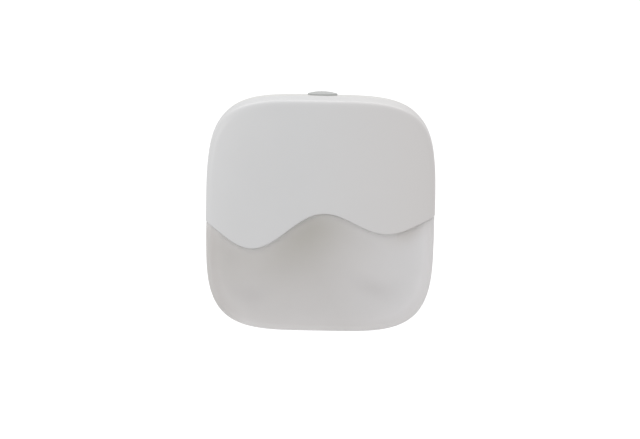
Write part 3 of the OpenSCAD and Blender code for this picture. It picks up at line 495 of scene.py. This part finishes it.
def zone(profile, start, stop, count):
    """Part of the bowl's rings from the angle start to the angle stop, which may differ from row to row."""
    t = turns(np.mean(start), np.mean(stop), count)
    share = (t - t[0]) / (t[-1] - t[0])
    x, y = outline(profile[:, :1], start + share * (stop - start))
    return np.stack([x, y, np.broadcast_to(profile[:, 1:], x.shape)], -1)


hook_length, hook_height, hook_flat, hook_out, hook_lift, hook_y = 5.0, 1.6, 0.4, 0.65, 0.6, 9


def hook(side, y):
    """Wedge on the outside of the tongue: it widens to hook_out under a short flat, and reaches as far into
    the tongue's wall."""
    flat_z = hook_height - hook_flat
    wedge = np.array([[-hook_out, 0], [0, 0], [hook_out, flat_z], [hook_out, hook_height],
                      [-hook_out, hook_height]])
    corners = wedge + [tongue_half, tongue_z + hook_lift]
    return prism(corners * [side, 1], y - hook_length / 2, y + hook_length / 2)


frosted = grained("frosted_plastic", (0.735, 0.714, 0.702), drift=0.012, roughness=0.5, relief=0.012,
                  Subsurface_Weight=1.0, Subsurface_Scale=0.003, Subsurface_Radius=(1.0, 1.0, 1.0),
                  Specular_IOR_Level=0.25)


def wave_depth(x, z, math):
    """Depth under the wave, wave(x) - z, on sockets in millimetres."""
    swing = math("COSINE", math("MULTIPLY", math("SUBTRACT", x, crest_x), 2 * np.pi / wave_pitch))
    size = math("MULTIPLY_ADD", x, -wave_fade, wave_height)
    mean = math("MULTIPLY_ADD", x, wave_tilt, wave_mid)
    return math("SUBTRACT", math("MULTIPLY_ADD", size, swing, mean), z)


def in_mm(socket, math):
    """Socket value in metres, times 1000."""
    return math("MULTIPLY", socket, 1000)


def ramp(value, start, stop, top, math):
    """Straight ramp from 0 at start to top at stop, level beyond both."""
    slope = top / (stop - start)
    return math("MINIMUM", math("MAXIMUM", math("MULTIPLY_ADD", value, slope, -slope * start), 0), top)


def painted_light_right_low(x, y, z, math):
    """Painted light: the right and lower part of the wall made lighter, standing in for the light that comes
    through there;
    the larger of two ramps, from x = -2 to 28 mm and from z = -12 to -67 mm."""
    return math("MAXIMUM", ramp(in_mm(x, math), -2, 28, 1, math), ramp(in_mm(z, math), -12, -67, 1, math))


def rim(x, z, start, stop, math):
    """Wall that is seen nearly edge on: ramp from the half width start to stop, in mm, on the outline's half
    width at the point, the root of |x|^n + |z|^n."""
    across = math("POWER", math("ABSOLUTE", in_mm(x, math)), squareness)
    upward = math("POWER", math("ABSOLUTE", in_mm(z, math)), squareness)
    return ramp(math("POWER", math("ADD", across, upward), 1 / squareness), start, stop, 1, math)


def painted_shade_right_rim(x, y, z, math):
    """Painted shade at the right rim, where the wall is seen nearly edge on: share 0.45 from x = 20 mm,
    fading to the left until x = -15 mm.
    """
    return math("MULTIPLY", rim(x, z, 27, 29.5, math), ramp(in_mm(x, math), -15, 20, 0.45, math))


def painted_shade_left_rim(x, y, z, math):
    """Painted shade at the left rim, where the wall is seen nearly edge on: share 0.9 from x = -25 mm, fading
    until x = -19 mm.
    """
    return math("MULTIPLY", rim(x, z, 26.5, 29.5, math), ramp(in_mm(x, math), -19, -25, 0.9, math))


def painted_light_under_edge(x, y, z, math):
    """Painted light: the wall made lighter just under the cover's edge, 0.55 exp(-d) in mm, left of x = 20.
    """
    inside = math("LESS_THAN", in_mm(x, math), 20)
    depth = math("MAXIMUM", wave_depth(in_mm(x, math), in_mm(z, math), math), 0)
    fading = math("POWER", np.e, math("MULTIPLY", depth, -1))
    return math("MULTIPLY", math("MULTIPLY", fading, 0.55), inside)


def painted_shade_spot(share, middle_x, half_x, middle_d, half_d):
    """Painted shade: a soft darker spot, share exp(-((x - middle_x)/half_x)^2
    - ((d - middle_d)/half_d)^2), in mm, with the depth d under the wave."""
    def mask(x, y, z, math):
        x, z = in_mm(x, math), in_mm(z, math)
        side = math("MULTIPLY_ADD", x, 1 / half_x, -middle_x / half_x)
        down = math("MULTIPLY_ADD", wave_depth(x, z, math), 1 / half_d, -middle_d / half_d)
        spread = math("ADD", math("MULTIPLY", side, side), math("MULTIPLY", down, down))
        return math("MULTIPLY", math("POWER", np.e, math("MULTIPLY", spread, -1)), share)

    return mask


# Painted light and shade on the diffuser: right and lower part lighter, both rims darker, soft darker spots,
# and a lighter band under the cover's edge.
overlay(frosted, painted_light_right_low, (0.915, 0.896, 0.903))
overlay(frosted, painted_shade_right_rim, (0.63, 0.61, 0.60))
overlay(frosted, painted_shade_left_rim, (0.63, 0.61, 0.60))
# Painted shade, as soft grey spots: behind the crest of the wave, at its right end, all along it and at its
# left end, and two low down, in front of the lower edge of the board.
overlay(frosted, painted_shade_spot(0.44, -2.75, 8.75, 2.8, 9.9), (0.50, 0.485, 0.43))
overlay(frosted, painted_shade_spot(0.35, 23.0, 4.5, 0.5, 3.0), (0.6, 0.555, 0.5))
overlay(frosted, painted_shade_spot(0.12, -8.0, 24.0, 2.0, 7.0), (0.50, 0.485, 0.43))
overlay(frosted, painted_shade_spot(0.15, -24.5, 4.5, 7.0, 7.0), (0.50, 0.485, 0.45))
overlay(frosted, painted_shade_spot(0.3, -17.8, 4.6, 12.5, 2.6), (0.63, 0.61, 0.61))
overlay(frosted, painted_shade_spot(0.32, 14.2, 5.5, 14.8, 2.6), (0.63, 0.61, 0.61))
# Painted light: a lighter band just under the cover's edge.
overlay(frosted, painted_light_under_edge, (0.94, 0.92, 0.91))
piece("diffuser_bowl",
      [rings(np.concatenate([zone(low, left_end + gap, right_end + 2 * np.pi - gap, 200),
                             zone(high, right_end + gap, left_end - gap, 190)], 1))]
      + [hook(side, y) for side in (-1, 1) for y in (-hook_y, hook_y)],
      "diffuser", frosted)

# ---------------------------------------------------------------- front cover
# Cap of opaque white ABS, 1.2 mm thick, moulded to lie flush on the upper part of the bowl and cut off along
# a wave. Four stakes behind its face pass through the diffuser and are flattened on the inside.


def table(half, top, r):
    """Bowl profile from the middle out, and the station of each row, the length along the profile with the
    rounding counted 3 front_edge_r / r times."""
    wall_rows, edge_rows, crown_rows = 60, 80, 200
    rows = bowl(half, top, r, wall_rows, edge_rows, crown_rows, middle=0.0)[::-1]
    step = np.linalg.norm(np.diff(rows, axis=0), axis=1)
    step[crown_rows:crown_rows + edge_rows] *= 3 * front_edge_r / r
    return np.concatenate([[0], np.cumsum(step)]), rows


outer_at, outer_rows = table(half_size, front_z, front_edge_r)
inner_at, inner_rows = table(half_size - cover_wall, front_z - cover_wall, front_edge_r - cover_wall)
rim_station = outer_at[-1]
inner_at = inner_at * rim_station / inner_at[-1]


def surface(flat, at, rows):
    """Point of the bowl over the disc point flat = (X, Y), at the station hypot(X, Y) and the angle
    atan2(Y, X)."""
    station, turn = np.hypot(flat[..., 0], flat[..., 1]), np.arctan2(flat[..., 1], flat[..., 0])
    x, y = outline(np.interp(station, at, rows[:, 0]), turn)
    return np.stack([x, y, np.interp(station, at, rows[:, 1])], -1)


def halved(miss, low_end, high_end):
    """Root of the rising function miss between two ends, by halving the span forty times."""
    for _ in range(40):
        middle = (low_end + high_end) / 2
        over = miss(middle) > 0
        low_end, high_end = np.where(over, low_end, middle), np.where(over, middle, high_end)
    return (low_end + high_end) / 2


def patch(at, rows, lift, across=320, up=110):
    """Disc points of the cover: a Coons patch between the cut, lift millimetres above the wave, and three
    arcs of the rim, from the cut's ends to 135 and 45 degrees. The ends are looked for within widest radians
    of the sides, and the cut within farthest of the middle."""
    nudge, widest, farthest = 0.01, np.float64(0.5), np.full(across, 20.0)
    left_corner, right_corner = np.radians(135), np.radians(45)

    def miss(flat):
        p = surface(flat, at, rows)
        slope = (wave(p[..., 0] + nudge) - wave(p[..., 0] - nudge)) / (2 * nudge)
        return p[..., 1] - wave(p[..., 0]) - lift * np.sqrt(1 + slope ** 2)

    def on_rim(turn):
        return rim_station * np.stack([np.cos(turn), np.sin(turn)], -1)

    first = np.pi - halved(lambda t: miss(on_rim(np.pi - t)), -widest, widest)
    last = halved(lambda t: miss(on_rim(t)), -widest, widest)
    u = np.linspace(0, 1, across)
    x = on_rim(first)[0] + u * (on_rim(last)[0] - on_rim(first)[0])
    y = halved(lambda height: miss(np.stack([x, height], -1)), -farthest, farthest)
    cut = np.stack([x, y], -1)
    cut[0], cut[-1] = on_rim(first), on_rim(last)
    top = on_rim(left_corner - u * (left_corner - right_corner))
    v = np.linspace(0, 1, up)
    left = on_rim(first + v * (left_corner - first))
    right = on_rim(last + v * (right_corner - last))
    u, v = u[None, :, None], v[:, None, None]
    return ((1 - v) * cut[None] + v * top[None] + (1 - u) * left[:, None] + u * right[:, None]
            - (1 - u) * ((1 - v) * cut[0] + v * top[0]) - u * ((1 - v) * cut[-1] + v * top[-1]))


def shell(r=0.4):
    """Closed form of the cover: outer face, wave edge rounded as C + r((sin p - 1) T - (1 - cos p) N) for
    the edge point C, the direction T out of the cover and the normal N, cut face, inner face and rim."""
    middle_of_body = [0, 0, 25.0]
    flat = patch(outer_at, outer_rows, r)
    outside = surface(flat, outer_at, outer_rows)
    edge = surface(patch(outer_at, outer_rows, 0.0, up=2)[0], outer_at, outer_rows)
    inner = surface(patch(inner_at, inner_rows, 0.0), inner_at, inner_rows)
    along = np.gradient(edge, axis=0)
    normal = np.cross(along, outside[1] - outside[0])
    normal /= np.linalg.norm(normal, axis=-1, keepdims=True)
    normal *= np.sign(np.sum(normal * (edge - middle_of_body), -1, keepdims=True))
    out = np.cross(normal, along)
    out /= np.linalg.norm(out, axis=-1, keepdims=True)
    out *= -np.sign(out[:, 1:2])
    p = np.linspace(0, np.pi / 2, 7)[:, None, None]
    lip = edge + r * ((np.sin(p) - 1) * out - (1 - np.cos(p)) * normal)
    outside[0] = lip[0]
    grid = np.concatenate([outside[::-1], lip[1:], inner])
    rows, cols = grid.shape[:2]
    here = np.arange(rows * cols).reshape(rows, cols)
    quads = np.stack([here[:-1, :-1], here[:-1, 1:], here[1:, 1:], here[1:, :-1]], -1).reshape(-1, 4)
    up = len(outside)
    front, rear = here[:up][::-1], here[-up:]
    loop_front = np.concatenate([front[:, 0], front[-1, 1:-1], front[::-1, -1]])
    loop_rear = np.concatenate([rear[:, 0], rear[-1, 1:-1], rear[::-1, -1]])
    ladder = np.stack([loop_front[:-1], loop_front[1:], loop_rear[1:], loop_rear[:-1]], -1)
    ends = [here[up - 1:rows - up + 1, side].tolist() for side in (0, -1)]
    return grid.reshape(-1, 3), quads.tolist() + ladder.tolist() + ends


def crown_fall(x, y):
    """How far the crown has fallen at a point, drop (h / reach)^power for the half width h of the outline
    through it, about the root of |x|^n + (|y| - tall)^n."""
    half = (np.abs(x) ** squareness + (np.abs(y) - tall) ** squareness) ** (1 / squareness)
    return crown_drop * (half / crown_reach) ** crown_power


# Each stake ends 0.8 mm behind the cover's face. Its head keeps the slip clearance from the diffuser's
# inside 1.5 mm farther out, where the crown has fallen more.
stake_r, head_r, head_t, stake_end, head_out = 1.2, 2.1, 0.8, 0.8, 1.5
stakes = []
for x, y in ((-18, 19), (18, 19), (-18, 5), (18, 5)):
    head_z = ceiling_z - crown_fall(abs(x) + head_out, y + head_out) - slip
    end_z = front_z - stake_end - crown_fall(x, y)
    stake = softened([[0.4, head_z - head_t], [head_r, head_z - head_t], [head_r, head_z], [stake_r, head_z],
                      [stake_r, end_z], [0.3, end_z]], reach=0.3, steps=4)
    stakes.append(turned(stake, (x, y, 0), "z", 32))


def painted_warm_light_right(x, y, z, math):
    """Painted warm tint of the light toward the right: a ramp from x = -5 to 30 mm."""
    return ramp(in_mm(x, math), -5, 30, 1, math)


cover_white = grained("cover_plastic", (0.77, 0.77, 0.775), drift=0.008, roughness=0.36, relief=0.006,
                      Coat_Weight=0.15, Coat_Roughness=0.3)
# Painted warm tint of the light on the cover's right side.
overlay(cover_white, painted_warm_light_right, (0.79, 0.766, 0.757))
piece("front_cover_cap", [shell()] + stakes, "front_cover", cover_white)

# ---------------------------------------------------------------- studio
# Pale light table 0.6 m below, an even white sky, one soft light from above and behind, and one small soft
# panel at the left. The table is only seen: it throws no light back.
far, below = 60, -0.6
floor_corners = [(-far, -far, below), (far, -far, below), (far, far, below), (-far, far, below)]
floor_mesh = bpy.data.meshes.new("floor")
floor_mesh.from_pydata(floor_corners, [], [(0, 1, 2, 3)])
floor = bpy.data.objects.new("floor", floor_mesh)
bpy.context.scene.collection.objects.link(floor)
floor_mesh.materials.append(grained("floor_paint", (0.93, 0.93, 0.93), drift=0.002, roughness=0.9, relief=0.0,
                                    Emission_Color=(1, 1, 1, 1), Emission_Strength=0.3))
floor.visible_diffuse = floor.visible_glossy = floor.visible_transmission = False

# The sky looks white where it is seen directly, and lights the object with the strength sky_light.
sky_light = 0.715
world = bpy.data.worlds.new("studio")
bpy.context.scene.world = world
world.use_nodes = True
tree = world.node_tree
tree.nodes["Background"].inputs["Color"].default_value = (1, 1, 1, 1)
brightness = tree.nodes.new("ShaderNodeMapRange")
brightness.inputs["To Min"].default_value = sky_light
tree.links.new(tree.nodes.new("ShaderNodeLightPath").outputs["Is Camera Ray"], brightness.inputs["Value"])
tree.links.new(brightness.outputs["Result"], tree.nodes["Background"].inputs["Strength"])
aim = Vector((0, -0.035, 0))


def lamp(name, kind, energy, spread, place, gloss=1.0):
    """Soft lamp at place, turned toward aim: a sun of spread radians or a panel spread metres wide, whose
    highlights have the share gloss."""
    data = bpy.data.lights.new(name, kind)
    data.energy, data.specular_factor = energy, gloss
    if kind == "SUN":
        data.angle = spread
    else:
        data.size = spread
    obj = bpy.data.objects.new(name, data)
    obj.location = place
    obj.rotation_mode = "QUATERNION"
    obj.rotation_quaternion = (aim - obj.location).to_track_quat("-Z", "Y")
    obj.visible_camera = False
    bpy.context.scene.collection.objects.link(obj)


lamp("rear_light", "SUN", 0.79, np.radians(60), (0, 0.59, 0.85), 0.1)
lamp("left_panel", "AREA", 0.017, 0.08, (-0.10, -0.10, 0.045))

# ---------------------------------------------------------------- camera
# A little above the object, looking slightly down on it and rolled by one degree. The shift puts the target,
# a point inside the body, at the pixel centre_px of the frame.
azimuth, elevation, roll, distance, focal_px = 0.0, 6.55, 1.074, 0.8, 3046.4
frame_px, centre_px = (640, 439), (320.41, 212.32)
sensor_width = 36
target = Vector((0, -0.030, 0))
a, e, r = np.radians([azimuth, elevation, roll])
back = Vector((np.sin(a) * np.cos(e), -np.cos(a) * np.cos(e), np.sin(e)))
right = (-back).cross(Vector((0, 0, 1))).normalized()
up = right.cross(-back)
right, up = np.cos(r) * right + np.sin(r) * up, np.cos(r) * up - np.sin(r) * right
camera = bpy.data.objects.new("camera", bpy.data.cameras.new("camera"))
bpy.context.scene.collection.objects.link(camera)
facing = Matrix((right, up, back)).transposed().to_4x4()
camera.matrix_world = Matrix.Translation(target + distance * back) @ facing
camera.data.sensor_width = sensor_width
camera.data.lens = focal_px * sensor_width / frame_px[0]
camera.data.shift_x = (frame_px[0] / 2 - centre_px[0]) / frame_px[0]
camera.data.shift_y = (centre_px[1] - frame_px[1] / 2) / frame_px[0]
camera.data.clip_start = 0.01
camera.data.clip_end = 200
bpy.context.scene.camera = camera
bpy.context.scene.view_settings.view_transform = "Standard"
